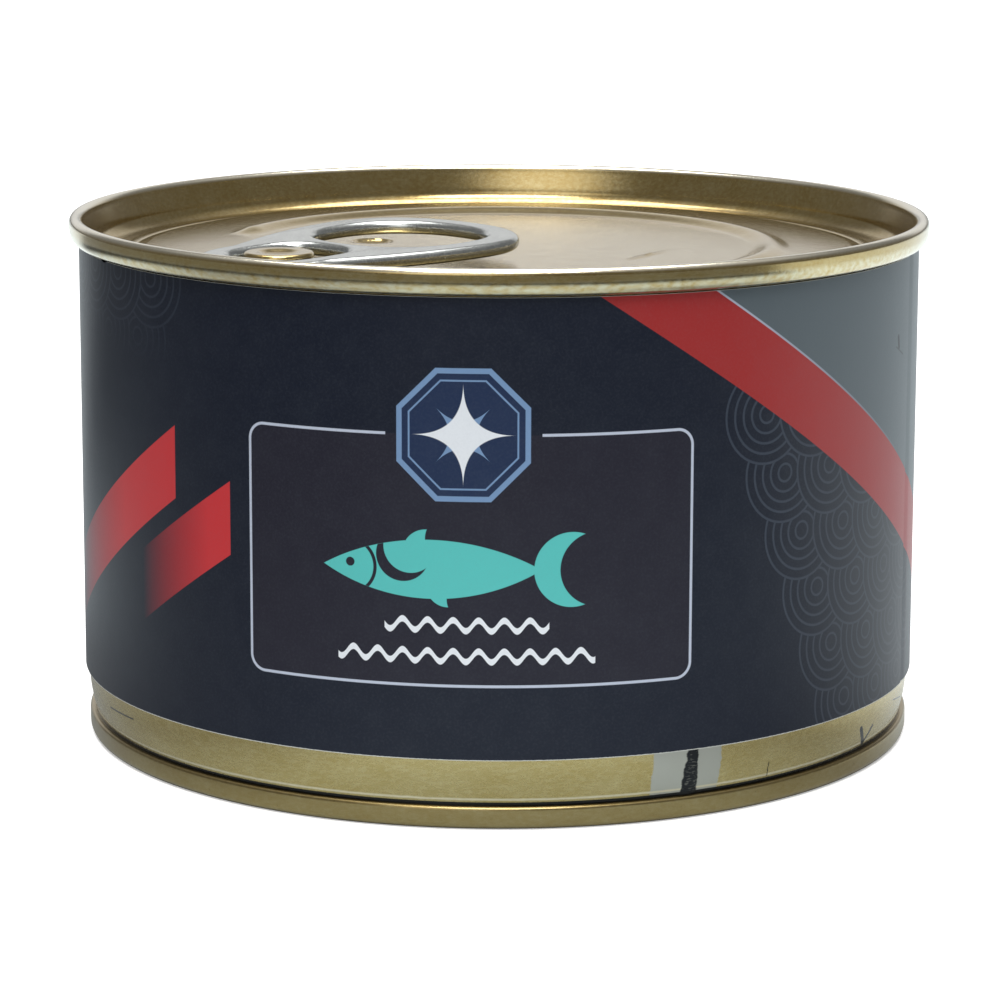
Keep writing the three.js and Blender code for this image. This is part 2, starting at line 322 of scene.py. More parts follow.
def fillet(start, end, steps):
    """A quarter of an ellipse that leaves its start level and reaches its end upright."""
    points = []
    for i in range(steps + 1):
        angle = math.pi * i / (2 * steps)
        along_radius, along_height = math.sin(angle), 1 - math.cos(angle)
        points.append((
            start[0] + (end[0] - start[0]) * along_radius,
            start[1] + (end[1] - start[1]) * along_height,
        ))
    return points


def straight(start, end, steps):
    """Points of a straight run in a turned profile, both ends among them."""
    shares = [i / steps for i in range(steps + 1)]
    return [(start[0] + (end[0] - start[0]) * t, start[1] + (end[1] - start[1]) * t) for t in shares]


def draw_in(start, end, steps):
    """Part of a parabola that draws in more and more towards its start, upright at its end."""
    shares = [i / steps for i in range(steps + 1)]
    return [(
        end[0] + (start[0] - end[0]) * (1 - share) ** 2,
        start[1] + (end[1] - start[1]) * share,
    ) for share in shares]


def turned(profile, segments, moved=None):
    """A profile turned about the can's axis, closed on the axis or on itself."""
    vertices, rings, faces = [], [], []
    for radius, height in profile:
        count = segments if radius > 0 else 1
        rings.append(range(len(vertices), len(vertices) + count))
        for i in range(count):
            angle = 2 * math.pi * i / segments
            vertices.append(Vector((radius * math.cos(angle), radius * math.sin(angle), height)))
    if profile[0][0] > 0:
        rings.append(rings[0])
    for below, above in zip(rings, rings[1:]):
        for i in range(segments):
            following = (i + 1) % segments
            corners = [below[i % len(below)], below[following % len(below)]]
            corners += [above[following % len(above)], above[i % len(above)]]
            faces.append(list(dict.fromkeys(corners)))
    if moved:
        vertices = [moved(vertex) for vertex in vertices]
    return vertices, [face for face in faces if len(face) > 2]


def piece(name, shapes, material, slot, *nodes, sharp=38):
    """One mesh object from (vertices, faces) shapes, riding on the can and standing for its nodes."""
    built = bmesh.new()
    for vertices, faces in shapes:
        made = [built.verts.new(vertex * MM) for vertex in vertices]
        for face in faces:
            built.faces.new([made[i] for i in face])
    bmesh.ops.recalc_face_normals(built, faces=built.faces)
    mesh = bpy.data.meshes.new(name)
    built.to_mesh(mesh)
    built.free()
    mesh.polygons.foreach_set("use_smooth", [True] * len(mesh.polygons))
    mesh.set_sharp_from_angle(angle=math.radians(sharp))
    mesh.materials.append(material)
    made_object = bpy.data.objects.new(name, mesh)
    bpy.context.scene.collection.objects.link(made_object)
    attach(made_object, "root")
    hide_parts(*nodes)
    return made_object


def front_angle(vertex):
    """Degrees round the can from its front, positive to the right."""
    return math.degrees(math.atan2(vertex.x, -vertex.y))


def raise_weld(vertex):
    """Lifts the narrow overlap of the weld, which widens and leans a little towards its foot."""
    below = NECK_SHOULDER - vertex.z
    off = abs(front_angle(vertex) - WELD_ANGLE + WELD_SLANT * below)
    half = WELD_HALF + WELD_SPREAD * max(0, below)
    lift = WELD_RISE * max(0, 1 - (off / half) ** 4)
    outward = Vector((vertex.x, vertex.y, 0))
    if outward.length < NECK_RADIUS - OUTER_FACE_DEPTH:
        return vertex
    return vertex + outward.normalized() * lift


def shade(red, green, blue):
    """A colour as it is seen, 0 to 255, in the linear numbers that shaders take."""
    linear = [((c / 255 + 0.055) / 1.055) ** 2.4 if c > 10 else c / 255 / 12.92 for c in (red, green, blue)]
    return (*linear, 1)


def new_material(name):
    material = bpy.data.materials.new(name)
    material.use_nodes = True
    return material, material.node_tree, material.node_tree.nodes["Principled BSDF"]


def stretched(tree, along_x, along_y, along_z):
    """Object coordinates in millimetres, pulled out so that a grain runs along one way."""
    place = tree.nodes.new("ShaderNodeTexCoord")
    scale = tree.nodes.new("ShaderNodeVectorMath")
    scale.operation = "MULTIPLY"
    scale.inputs[1].default_value = (along_x / MM, along_y / MM, along_z / MM)
    tree.links.new(place.outputs["Object"], scale.inputs[0])
    return scale.outputs[0]


def noise_of(tree, place, per_mm, detail=2.0):
    """Cloudy noise from 0 to 1 with about so many clouds in a millimetre."""
    node = tree.nodes.new("ShaderNodeTexNoise")
    node.inputs["Scale"].default_value = per_mm
    node.inputs["Detail"].default_value = detail
    tree.links.new(place, node.inputs["Vector"])
    return Field(tree, node.outputs["Fac"])


def tinplate_group():
    """Lacquered sheet: cloudy lacquer, fine rolling grain, and a slightly uneven skin."""
    group = bpy.data.node_groups.new("lacquered sheet", "ShaderNodeTree")
    place = group.interface.new_socket("Place", in_out="INPUT", socket_type="NodeSocketVector")
    place.default_value = (0, 0, 0)
    group.interface.new_socket("Colour", in_out="INPUT", socket_type="NodeSocketColor")
    group.interface.new_socket("Thin Colour", in_out="INPUT", socket_type="NodeSocketColor")
    group.interface.new_socket("Roughness", in_out="INPUT", socket_type="NodeSocketFloat")
    group.interface.new_socket("Colour", in_out="OUTPUT", socket_type="NodeSocketColor")
    group.interface.new_socket("Roughness", in_out="OUTPUT", socket_type="NodeSocketFloat")
    group.interface.new_socket("Height", in_out="OUTPUT", socket_type="NodeSocketFloat")
    given = group.nodes.new("NodeGroupInput")
    result = group.nodes.new("NodeGroupOutput")
    clouds = noise_of(group, given.outputs["Place"], 0.35, 3)
    mottle = noise_of(group, given.outputs["Place"], 2.2, 3)
    grain = noise_of(group, given.outputs["Place"], 9, 2)
    thin = clouds.ramp(0.35, 0.75) * 0.35 + mottle.ramp(0.4, 0.7) * 0.4 + grain.ramp(0.35, 0.7) * 0.35
    colour = mixed(group, given.outputs["Colour"], given.outputs["Thin Colour"], thin)
    group.links.new(colour, result.inputs["Colour"])
    rough = Field(group, given.outputs["Roughness"]) * (0.75 + mottle * 0.3 + grain * 0.2)
    group.links.new(rough.socket, result.inputs["Roughness"])
    height = mottle * 0.6 + grain * 0.25 + clouds
    group.links.new(height.socket, result.inputs["Height"])
    return group


def place_group(tree, group, place, **values):
    """A node group set into a material, with its own values."""
    node = tree.nodes.new("ShaderNodeGroup")
    node.node_tree = group
    tree.links.new(place, node.inputs["Place"])
    for name, value in values.items():
        node.inputs[name.replace("_", " ")].default_value = value
    return node


def bumped(tree, shader, height, distance):
    """Feeds a height in millimetres, times distance, to the shader's normal."""
    bump = tree.nodes.new("ShaderNodeBump")
    bump.inputs["Distance"].default_value = distance * MM
    tree.links.new(height, bump.inputs["Height"])
    tree.links.new(bump.outputs["Normal"], shader.inputs["Normal"])


SHARP_EDGE = 0.06


def inside(shape, softness=SHARP_EDGE):
    """1 where a signed distance is below zero, 0 above."""
    return (0.5 - shape / softness).math("ADD", 0, clamp=True)


def stroke(s, z, start, end, half_width):
    """Signed distance to a short straight mark with round ends."""
    run_s, run_z = end[0] - start[0], end[1] - start[1]
    share = ((s - start[0]) * run_s + (z - start[1]) * run_z) / (run_s ** 2 + run_z ** 2)
    share = share.math("ADD", 0, clamp=True)
    right = s - start[0] - share * run_s
    above = z - start[1] - share * run_z
    return (right * right + above * above).root() - half_width


LACQUERED_SHEET = tinplate_group()
GOLD_LACQUER = (0.40, 0.30, 0.10, 1)
THIN_LACQUER = (0.52, 0.43, 0.21, 1)
# Colour of the painted highlight line just above the lower seam
LIGHT_LINE_COLOUR = (0.85, 0.78, 0.58, 1)
BARE_TIN = (0.46, 0.45, 0.39, 1)
WELD_SCALE = (0.010, 0.012, 0.014, 1)
# Dark of the scuffs, and of the painted shade in the crevice just above the lower seam
GRIME_AND_SHADE = (0.004, 0.003, 0.002, 1)
COAT_WEIGHT = 0.5
GOLD_COAT_ROUGHNESS = 0.2
WALL_ROUGHNESS = 0.27
WALL_SKIN = 0.012
BARE_ROUGHER = 0.14
WELD_ROUGHER = 0.25
LIGHT_LINE_ROUGHER = 0.2

# How far ragged edges wander, and the painted highlight line and the painted crevice shade just above the
# lower seam
EDGE_WANDER = 0.6
SCUFF_WANDER = 0.3
BARE_EDGE = (-0.1, 0.1)
WELD_EDGE = (-0.08, 0.1)
SCUFF_EDGE = 0.05
LIGHT_LINE_HEIGHT = 0.28
LIGHT_LINE_HALF = 0.1
LIGHT_LINE_WANDER = 0.1
LIGHT_LINE_SOFT = 0.12
LIGHT_LINE_SHARE = 0.8
CREVICE_SHADE_HEIGHT = 0.04
CREVICE_SHADE_EDGE = (-0.02, 0.02)


def lacquered(shader, coat_roughness):
    """Metal under a thin clear coat."""
    shader.inputs["Metallic"].default_value = 1
    shader.inputs["Coat Weight"].default_value = COAT_WEIGHT
    shader.inputs["Coat Roughness"].default_value = coat_roughness


def wall_tinplate():
    material, tree, shader = new_material("gold lacquered wall")
    place = stretched(tree, 0.6, 0.6, 1.6)
    sheet = place_group(
        tree, LACQUERED_SHEET, place,
        Colour=GOLD_LACQUER, Thin_Colour=THIN_LACQUER, Roughness=WALL_ROUGHNESS,
    )
    x, y, z = [axis / MM for axis in axes_of(tree, "Object")]
    degrees = x.math("ARCTAN2", y * -1) * math.degrees(1)
    round_wall = degrees * MM_PER_DEGREE
    ragged = noise_of(tree, place, 1.2, 3)
    wander = (ragged - 0.5) * EDGE_WANDER
    upright = degrees - (z - NECK_SHOULDER) * WELD_SLANT
    from_left = (upright + wander - BARE_LEFT).ramp(*BARE_EDGE)
    from_right = (BARE_RIGHT - upright + wander).ramp(*BARE_EDGE)
    bare = from_left * from_right
    weld_half = (NECK_SHOULDER - z).most(0) * WELD_SPREAD + WELD_HALF
    on_weld = (weld_half + wander - abs(upright - WELD_ANGLE)).ramp(*WELD_EDGE)
    colour = mixed(tree, sheet.outputs["Colour"], BARE_TIN, bare)
    # Painted highlight: a thin pale line round the wall just above the lower seam, also made a little
    # rougher.
    from_light_line = abs(z - NECK_FOOT - LIGHT_LINE_HEIGHT - ragged * LIGHT_LINE_WANDER)
    light_line = inside(from_light_line - LIGHT_LINE_HALF, LIGHT_LINE_SOFT)
    colour = mixed(tree, colour, LIGHT_LINE_COLOUR, light_line * LIGHT_LINE_SHARE)
    scaled = mixed(tree, WELD_SCALE, BARE_TIN, noise_of(tree, place, 3.1, 4).ramp(0.56, 0.7) * 0.35)
    colour = mixed(tree, colour, scaled, on_weld)
    for (start, start_z), (end, end_z), half_width in SCUFFS:
        ends = (start * MM_PER_DEGREE, start_z), (end * MM_PER_DEGREE, end_z)
        mark = stroke(round_wall + (ragged - 0.5) * SCUFF_WANDER, z, *ends, half_width)
        colour = mixed(tree, colour, GRIME_AND_SHADE, inside(mark, SCUFF_EDGE))
    # Painted shade: the wall goes near black in the crevice just above the lower seam, where shade falls.
    colour = mixed(tree, colour, GRIME_AND_SHADE, (NECK_FOOT + CREVICE_SHADE_HEIGHT - z).ramp(*CREVICE_SHADE_EDGE))
    tree.links.new(colour, shader.inputs["Base Color"])
    rough = Field(tree, sheet.outputs["Roughness"]) + bare * BARE_ROUGHER
    rough = rough + on_weld * WELD_ROUGHER + light_line * LIGHT_LINE_ROUGHER
    tree.links.new(rough.socket, shader.inputs["Roughness"])
    bumped(tree, shader, sheet.outputs["Height"], WALL_SKIN)
    lacquered(shader, GOLD_COAT_ROUGHNESS)
    return material


wall_profile = [
    (0, BODY_UNDERSIDE),
    (WALL_INSIDE, BODY_UNDERSIDE),
    (WALL_INSIDE, NECK_FOOT - WALL_TUCK),
    (NECK_RADIUS, NECK_FOOT - WALL_TUCK),
    *draw_in((NECK_RADIUS, NECK_FOOT), (WALL_FACE, NECK_SHOULDER), 24),
    *straight((WALL_FACE, NECK_SHOULDER), (WALL_FACE, can_high.z), 6)[1:],
    (0, can_high.z),
]
piece(
    "side_wall",
    [turned(wall_profile, WALL_SEGMENTS, raise_weld)],
    wall_tinplate(),
    "lacquered_tinplate",
    "can_body",
)


# Bottom end: a pressed tinplate disc, lacquered gold on both faces, with a stacking groove and
# two shallow steps, its edge rolled together with the wall's foot into the lower double seam.

foot_high = Vector(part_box("bottom_end")[1]) / MM
FOOT_RADIUS = foot_high.x
FOOT_SEAM_HEIGHT = 2.2
FOOT_ROUND = 0.75
FOOT_TOP_ROUND = 0.35
FOOT_INNER_RADIUS = 39.65
PRESSED_HEIGHT = 2.4
DISC_HEIGHT = 3.0
GROOVE_HEIGHT = 3.8
PLUG_RADIUS = 39.9
CENTRE_EDGE = 18
STEP_UP_END = 19.5
STEP_DOWN_START = 29
STEP_DOWN_END = 30.5
GROOVE_RISE_START = 35.5
GROOVE_INNER = 37.2
GROOVE_OUTER = 38.7
END_SEGMENTS = 360
FOOT_ROUGHNESS = 0.3
FOOT_SKIN = 0.014
FOOT_LACQUER = (0.28, 0.20, 0.068, 1)
FOOT_THIN = (0.36, 0.285, 0.13, 1)


def foot_tinplate():
    material, tree, shader = new_material("gold lacquered end")
    place = stretched(tree, 0.7, 0.7, 1.4)
    sheet = place_group(
        tree, LACQUERED_SHEET, place,
        Colour=FOOT_LACQUER, Thin_Colour=FOOT_THIN, Roughness=FOOT_ROUGHNESS,
    )
    tree.links.new(sheet.outputs["Colour"], shader.inputs["Base Color"])
    tree.links.new(sheet.outputs["Roughness"], shader.inputs["Roughness"])
    bumped(tree, shader, sheet.outputs["Height"], FOOT_SKIN)
    lacquered(shader, GOLD_COAT_ROUGHNESS)
    return material


foot_profile = [
    *straight((0, PRESSED_HEIGHT), (CENTRE_EDGE, PRESSED_HEIGHT), 6),
    *soft_step((CENTRE_EDGE, PRESSED_HEIGHT), (STEP_UP_END, DISC_HEIGHT), 8)[1:],
    *straight((STEP_UP_END, DISC_HEIGHT), (STEP_DOWN_START, DISC_HEIGHT), 5)[1:],
    *soft_step((STEP_DOWN_START, DISC_HEIGHT), (STEP_DOWN_END, PRESSED_HEIGHT), 8)[1:],
    *soft_step((GROOVE_RISE_START, PRESSED_HEIGHT), (GROOVE_INNER, GROOVE_HEIGHT), 8),
    *soft_step((GROOVE_OUTER, GROOVE_HEIGHT), (FOOT_INNER_RADIUS, FOOT_ROUND), 8, upright=True),
    *arc(FOOT_INNER_RADIUS + FOOT_ROUND, FOOT_ROUND, FOOT_ROUND, 180, 270, 8)[1:],
    *arc(FOOT_RADIUS - FOOT_ROUND, FOOT_ROUND, FOOT_ROUND, -90, 0, 10),
    *arc(FOOT_RADIUS - FOOT_TOP_ROUND, FOOT_SEAM_HEIGHT - FOOT_TOP_ROUND, FOOT_TOP_ROUND, 0, 90, 6),
    (PLUG_RADIUS, FOOT_SEAM_HEIGHT),
    (PLUG_RADIUS, foot_high.z),
    (0, foot_high.z),
]
piece(
    "bottom_disc",
    [turned(foot_profile, END_SEGMENTS)],
    foot_tinplate(),
    "lacquered_tinplate",
    "bottom_end",
)


# Wrap: a strip of satin-coated paper printed in navy, red, grey, turquoise and white, pulled
# round the wall and glued where its outer end laps over the inner one, right of the front.

wrap_low, wrap_high = [Vector(corner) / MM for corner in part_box("wrap")]
WRAP_RADIUS = wrap_high.x
WRAP_BOTTOM = wrap_low.z
WRAP_TOP = wrap_high.z
PAPER = 0.11
LAP_EDGE = 71.5
LAP_WIDTH = 8.0
LAP_SLOPE = 2.5
LAP_GAP = 0.03
WRAP_COLUMNS = 740
WRAP_ROWS = 24
NICK_ANGLE = -64
NICK_HALF = 0.9
NICK_DEPTH = 0.25
NAVY = shade(17, 23, 39)
GREY_FIELD = shade(90, 99, 104)
RED = shade(164, 45, 44)
BRIGHT_RED = shade(208, 54, 58)
PANEL_FILL = shade(33, 31, 44)
LINE_WHITE = shade(196, 202, 218)
BRIGHT_WHITE = shade(238, 240, 244)
TURQUOISE = shade(92, 198, 192)
PALE_BLUE = shade(122, 152, 190)
DEEP_BLUE = shade(30, 46, 78)
WAVE_LINE = shade(74, 82, 96)
# Dark of the rub, and of the painted shade line of the crease
MARK_AND_SHADE_DARK = shade(20, 18, 20)
FIBRE_GREY = shade(120, 126, 134)
CUT_PAPER = shade(205, 204, 198)


def wrap_shape():
    """The strip as a closed sheet: once round, then on under its own outer end."""
    length = 360 + LAP_WIDTH
    columns = WRAP_COLUMNS
    rows = WRAP_ROWS
    vertices, faces = [], []
    for column in range(columns + 1):
        run = length * column / columns
        angle = math.radians(LAP_EDGE - run)
        sunk = (PAPER + LAP_GAP) * min(1, max(0, (run - 360 + LAP_SLOPE) / LAP_SLOPE))
        nick = max(0, 1 - abs(math.degrees(angle) - NICK_ANGLE) / NICK_HALF) * NICK_DEPTH
        for side in (0, 1):
            radius = WRAP_RADIUS - sunk - PAPER * side
            for row in range(rows + 1):
                height = WRAP_BOTTOM + (WRAP_TOP - WRAP_BOTTOM) * row / rows
                if row == rows:
                    height -= nick
                vertices.append(Vector((radius * math.sin(angle), -radius * math.cos(angle), height)))
    stride = 2 * (rows + 1)

    def at(column, side, row):
        return column * stride + side * (rows + 1) + row

    for column in range(columns):
        for row in range(rows):
            for side in (0, 1):
                faces.append([at(column, side, row), at(column + 1, side, row),
                              at(column + 1, side, row + 1), at(column, side, row + 1)])
        for row in (0, rows):
            faces.append([at(column, 0, row), at(column + 1, 0, row),
                          at(column + 1, 1, row), at(column, 1, row)])
    for column in (0, columns):
        for row in range(rows):
            faces.append([at(column, 0, row), at(column, 0, row + 1),
                          at(column, 1, row + 1), at(column, 1, row)])
    return vertices, faces


def outline(shape, width, softness=SHARP_EDGE):
    return inside(abs(shape) - width / 2, softness)


def circle(s, z, centre_s, centre_z, radius):
    right, above = s - centre_s, z - centre_z
    return (right * right + above * above).root() - radius


def rounded_box(s, z, centre_s, centre_z, half_s, half_z, corner):
    right = abs(s - centre_s) - (half_s - corner)
    above = abs(z - centre_z) - (half_z - corner)
    outside = (right.most(0) * right.most(0) + above.most(0) * above.most(0)).root()
    return outside + right.most(above).least(0) - corner


def star(s, z, reach):
    """A thin four-pointed star about the middle; zero on its hollow sides."""
    return abs(s).root() + abs(z).root() - math.sqrt(reach)


SCALE_RADIUS = 4.8
SCALE_PITCH = 6.3
ROW_DROP = 5.8
ROW_SHIFT = 2.35
RING_GAP = 0.96
RING_WIDTH = 0.24
RING_SOFT = 0.1
SCALE_EYE = 0.7


def wave_row(s, z, row, first_s, first_z):
    """The rings and the cover of one row of overlapping wave scales, the right one in front."""
    above = z - (first_z - row * ROW_DROP)
    reach = (SCALE_RADIUS * SCALE_RADIUS - above * above).root()
    start = first_s + row * ROW_SHIFT
    number = ((s - start + reach) / SCALE_PITCH).math("FLOOR")
    right = s - start - number.most(0) * SCALE_PITCH
    depth = SCALE_RADIUS - (right * right + above * above).root()
    cover = inside(depth * -1) * number.math("GREATER_THAN", -0.5) * row.math("GREATER_THAN", -0.5)
    ring = outline(depth.math("MODULO", RING_GAP) - RING_WIDTH / 2, RING_WIDTH, RING_SOFT)
    return ring * (SCALE_RADIUS - depth).math("GREATER_THAN", SCALE_EYE), cover


def wave_scales(s, z, first_s, first_z):
    """Rows of overlapping wave scales hanging from a first one, each row behind the row above it."""
    row = ((first_z - z) / ROW_DROP).math("FLOOR")
    upper_rings, upper_cover = wave_row(s, z, row, first_s, first_z)
    lower_rings, lower_cover = wave_row(s, z, row + 1, first_s, first_z)
    return upper_rings * upper_cover + lower_rings * lower_cover * (1 - upper_cover)


# The fish, from the tip of its nose and its middle line: each circle's place, height and radius.
# Its tail and its fins are crescents, the first circle less the second.
FISH_NOSE = -16.4
FISH_MIDDLE = 24.7
FISH_HALF_LENGTH = 10.2
FISH_HALF_HEIGHT = 2.75
TAIL = ((23.2, 0, 3.5), (25.6, 0, 3.5))
BACK_FIN = ((9.8, 1.5, 2.2), (11.8, 2.9, 2.1))
LOW_FIN = ((11.8, -1.5, 2.0), (13.6, -2.8, 1.9))
SIDE_FIN = ((7.6, 1.3, 2.5), (8.3, 2.1, 2.5))
GILL = (2.4, 0, 2.6)
GILL_FRONT = 3.5
GILL_HALF = 0.16
EYE = (2.6, 0.35, 0.42)


def fish_circle(s, z, behind_nose, over_middle, radius):
    return circle(s, z, FISH_NOSE + behind_nose, FISH_MIDDLE + over_middle, radius)


def crescent(s, z, full, cut):
    return fish_circle(s, z, *full).most(fish_circle(s, z, *cut) * -1)


def fish(s, z):
    """A plain fish seen from the side, nose to the left: its body and fins, and its eye and gill."""
    bend = (FISH_HALF_LENGTH ** 2 + FISH_HALF_HEIGHT ** 2) / (2 * FISH_HALF_HEIGHT)
    back = fish_circle(s, z, FISH_HALF_LENGTH, FISH_HALF_HEIGHT - bend, bend)
    belly = fish_circle(s, z, FISH_HALF_LENGTH, bend - FISH_HALF_HEIGHT, bend)
    body = back.most(belly)
    gill = abs(fish_circle(s, z, *GILL)).most(FISH_NOSE + GILL_FRONT - s) - GILL_HALF
    eye = fish_circle(s, z, *EYE)
    fins = crescent(s, z, *BACK_FIN).least(crescent(s, z, *LOW_FIN))
    flesh = inside(body.least(crescent(s, z, *TAIL)).least(fins))
    return flesh, inside(gill.least(eye).least(crescent(s, z, *SIDE_FIN)))


WAVE_LENGTH = 2.35
WAVE_CREST = 0.5


def wave_line(s, z, centre_s, half_s, middle, width):
    """A row of small waves across part of the print."""
    crest = (s * (2 * math.pi / WAVE_LENGTH)).math("SINE") * WAVE_CREST
    return inside((abs(z - middle - crest) - width / 2).most(abs(s - centre_s) - half_s))


# Where the wave scales hang: the middle of the first one, then the stretches where they pale,
# end or begin, round the paper or up it. The left ones are counted leftwards from the front.
RIGHT_WAVES = (26.6, 37.8)
RIGHT_WAVES_PALE = (27, 60)
RIGHT_WAVES_LOST = 0.75
RIGHT_WAVES_INK = 0.52
RIGHT_WAVES_END = (70, 76)
LEFT_WAVES = (37.6, 49.3)
LEFT_WAVES_FOOT = (41, 48)
LEFT_WAVES_INK = 0.3
LEFT_WAVES_START = (-76, -60)
LEFT_WAVES_END = (-34, -30)


def lay_waves(tree, s, z):
    """The navy ground with both fields of wave scales."""
    right = wave_scales(s, z, *RIGHT_WAVES) * (1 - s.ramp(*RIGHT_WAVES_PALE) * RIGHT_WAVES_LOST)
    right = right * RIGHT_WAVES_INK * (1 - s.ramp(*RIGHT_WAVES_END))
    left = wave_scales(s * -1, z, *LEFT_WAVES) * z.ramp(*LEFT_WAVES_FOOT) * LEFT_WAVES_INK
    left = left * (1 - s.ramp(*LEFT_WAVES_END)) * s.ramp(*LEFT_WAVES_START)
    return mixed(tree, mixed(tree, NAVY, WAVE_LINE, right), WAVE_LINE, left)


# The long stripe falls to the right with grey above it. Each of its edges passes through a point.
STRIPE_SLOPE = 0.66
STRIPE_LOWER = (10.3, 49.1)
STRIPE_UPPER = (21.4, 49.3)
STRIPE_END = 120
PALE_LINE_WIDTH = 0.22
PALE_LINE_LIFT = 0.1
PALE_LINE_INK = 0.75
PALE_LINE_START = (0, 1)
PALE_LINE_FADE = (24, 50)

# The two short stripes on the left: right edge, height there, and where each starts and ends to fade
SHORT_STRIPES = ((-34.0, 35.7, -43, -60), (-26.7, 31.3, -29.5, -39.5))
SHORT_STRIPE_SLOPE = 0.655
SHORT_STRIPE_DEPTH = 7.0


def lay_stripes(tree, colour, s, z):
    lower_edge = z - STRIPE_LOWER[1] + (s - STRIPE_LOWER[0]) * STRIPE_SLOPE
    upper_edge = z - STRIPE_UPPER[1] + (s - STRIPE_UPPER[0]) * STRIPE_SLOPE
    before_end = inside((STRIPE_END - s) * -1)
    colour = mixed(tree, colour, GREY_FIELD, inside(upper_edge * -1) * before_end)
    colour = mixed(tree, colour, RED, inside(upper_edge.most(lower_edge * -1)) * before_end)
    pale_line = outline(upper_edge - PALE_LINE_LIFT, PALE_LINE_WIDTH)
    pale_line = pale_line * (1 - s.ramp(*PALE_LINE_FADE)) * s.ramp(*PALE_LINE_START)
    colour = mixed(tree, colour, LINE_WHITE, pale_line * PALE_LINE_INK)
    for right_edge, top, fade_from, fade_to in SHORT_STRIPES:
        fall = (s - right_edge) * SHORT_STRIPE_SLOPE
        band = (z - top - fall).most(top - SHORT_STRIPE_DEPTH + fall - z).most(s - right_edge)
        colour = mixed(tree, colour, BRIGHT_RED, inside(band) * s.ramp(fade_to, fade_from))
    return colour


# Panels: middle height, half width, half height and corner radius. Both have the same frame line.
BACK_PANEL = (26, 24, 15, 1.5)
FRONT_PANEL = (25.5, 21.3, 11.7, 1.5)
FRONT_PANEL_MIDDLE = -2.95
FRAME_LINE = 0.26
BAR_FOOT = 14.4
BAR_PITCH = 3.3
BAR_HALF = 0.4
BAR_REACH = 20
BAR_UNEVEN = 2.6
BAR_SHORTEST = 4.1
BAR_MIDDLE_ROW = 3
BAR_ROWS_HALF = 3.5
BAR_INK = 0.8


def lay_back_panel(tree, colour, s, z):
    """A framed panel at the back with bare bars of uneven length."""
    behind = math.pi * WRAP_RADIUS - abs(s)
    panel = rounded_box(behind, z, 0, *BACK_PANEL)
    colour = mixed(tree, colour, PANEL_FILL, inside(panel))
    colour = mixed(tree, colour, LINE_WHITE, outline(panel, FRAME_LINE))
    row = ((z - BAR_FOOT) / BAR_PITCH).math("FLOOR")
    bar = abs(z - BAR_FOOT - row * BAR_PITCH - BAR_PITCH / 2) - BAR_HALF
    bar_end = behind - BAR_REACH + (row * BAR_UNEVEN).math("MODULO", BAR_SHORTEST)
    bars = inside(bar.most(bar_end)) * inside(abs(row - BAR_MIDDLE_ROW) - BAR_ROWS_HALF)
    return mixed(tree, colour, LINE_WHITE, bars * BAR_INK)


BADGE_MIDDLE = (-3.2, 37.2)
BADGE_CLEAR = 7.2
BADGE_REACH = 5.9
BADGE_RIM = 0.5
BADGE_INNER_REACH = 5.0
BADGE_INNER_LINE = 0.16
STAR_REACH = 4.8
SMALL_STAR_REACH = 3.6
DIAGONAL = math.sqrt(0.5)

# Wavy lines under the fish: middle across, half width, height and thickness
WAVY_LINES = ((-2.9, 7.6, 19.5, 0.6), (-3.0, 12.0, 16.6, 0.6))


def lay_front_panel(tree, colour, s, z):
    """A framed panel at the front, open at its top for an eight-sided badge, with a fish in it."""
    panel = rounded_box(s, z, FRONT_PANEL_MIDDLE, *FRONT_PANEL)
    badge_s, badge_z = s - BADGE_MIDDLE[0], z - BADGE_MIDDLE[1]
    slanting = (abs(badge_s) + abs(badge_z)) * DIAGONAL
    badge = abs(badge_s).most(abs(badge_z)).most(slanting)
    colour = mixed(tree, colour, PANEL_FILL, inside(panel))
    colour = mixed(tree, colour, LINE_WHITE, outline(panel, FRAME_LINE) * inside(BADGE_CLEAR - badge))
    colour = mixed(tree, colour, DEEP_BLUE, inside(badge - BADGE_REACH))
    colour = mixed(tree, colour, PALE_BLUE, outline(badge - BADGE_REACH, BADGE_RIM))
    colour = mixed(tree, colour, PALE_BLUE, outline(badge - BADGE_INNER_REACH, BADGE_INNER_LINE))
    turned_s = (badge_s + badge_z) * DIAGONAL
    turned_z = (badge_z - badge_s) * DIAGONAL
    colour = mixed(tree, colour, PALE_BLUE, inside(star(turned_s, turned_z, SMALL_STAR_REACH)))
    colour = mixed(tree, colour, BRIGHT_WHITE, inside(star(badge_s, badge_z, STAR_REACH)))
    flesh, marks = fish(s, z)
    colour = mixed(tree, colour, TURQUOISE, flesh)
    colour = mixed(tree, colour, PANEL_FILL, marks * flesh)
    upper_line, lower_line = [wave_line(s, z, *line) for line in WAVY_LINES]
    return mixed(tree, colour, BRIGHT_WHITE, upper_line + lower_line)


# A dark rub, and a short crease drawn as a line of painted shade, at the upper right:
# start and end round the paper and up it, half width
PAPER_RUB = ((49.2, 42.3), (49.4, 41.3), 0.25)
PAPER_CREASE_SHADE = ((48.6, 41.4), (50.8, 40.4), 0.05)
PAPER_MARK_SOFT = 0.15
PAPER_MARK_SHARE = 0.8


def printed_colour(tree, s, z):
    """The print, laid down colour over colour; s runs round the paper from the front, z is height."""
    colour = lay_waves(tree, s, z)
    colour = lay_stripes(tree, colour, s, z)
    colour = lay_back_panel(tree, colour, s, z)
    colour = lay_front_panel(tree, colour, s, z)
    marks = stroke(s, z, *PAPER_RUB).least(stroke(s, z, *PAPER_CREASE_SHADE))
    # The rub is a dark mark on the paper; the crease is a line of painted shade.
    return mixed(tree, colour, MARK_AND_SHADE_DARK, inside(marks, PAPER_MARK_SOFT) * PAPER_MARK_SHARE)


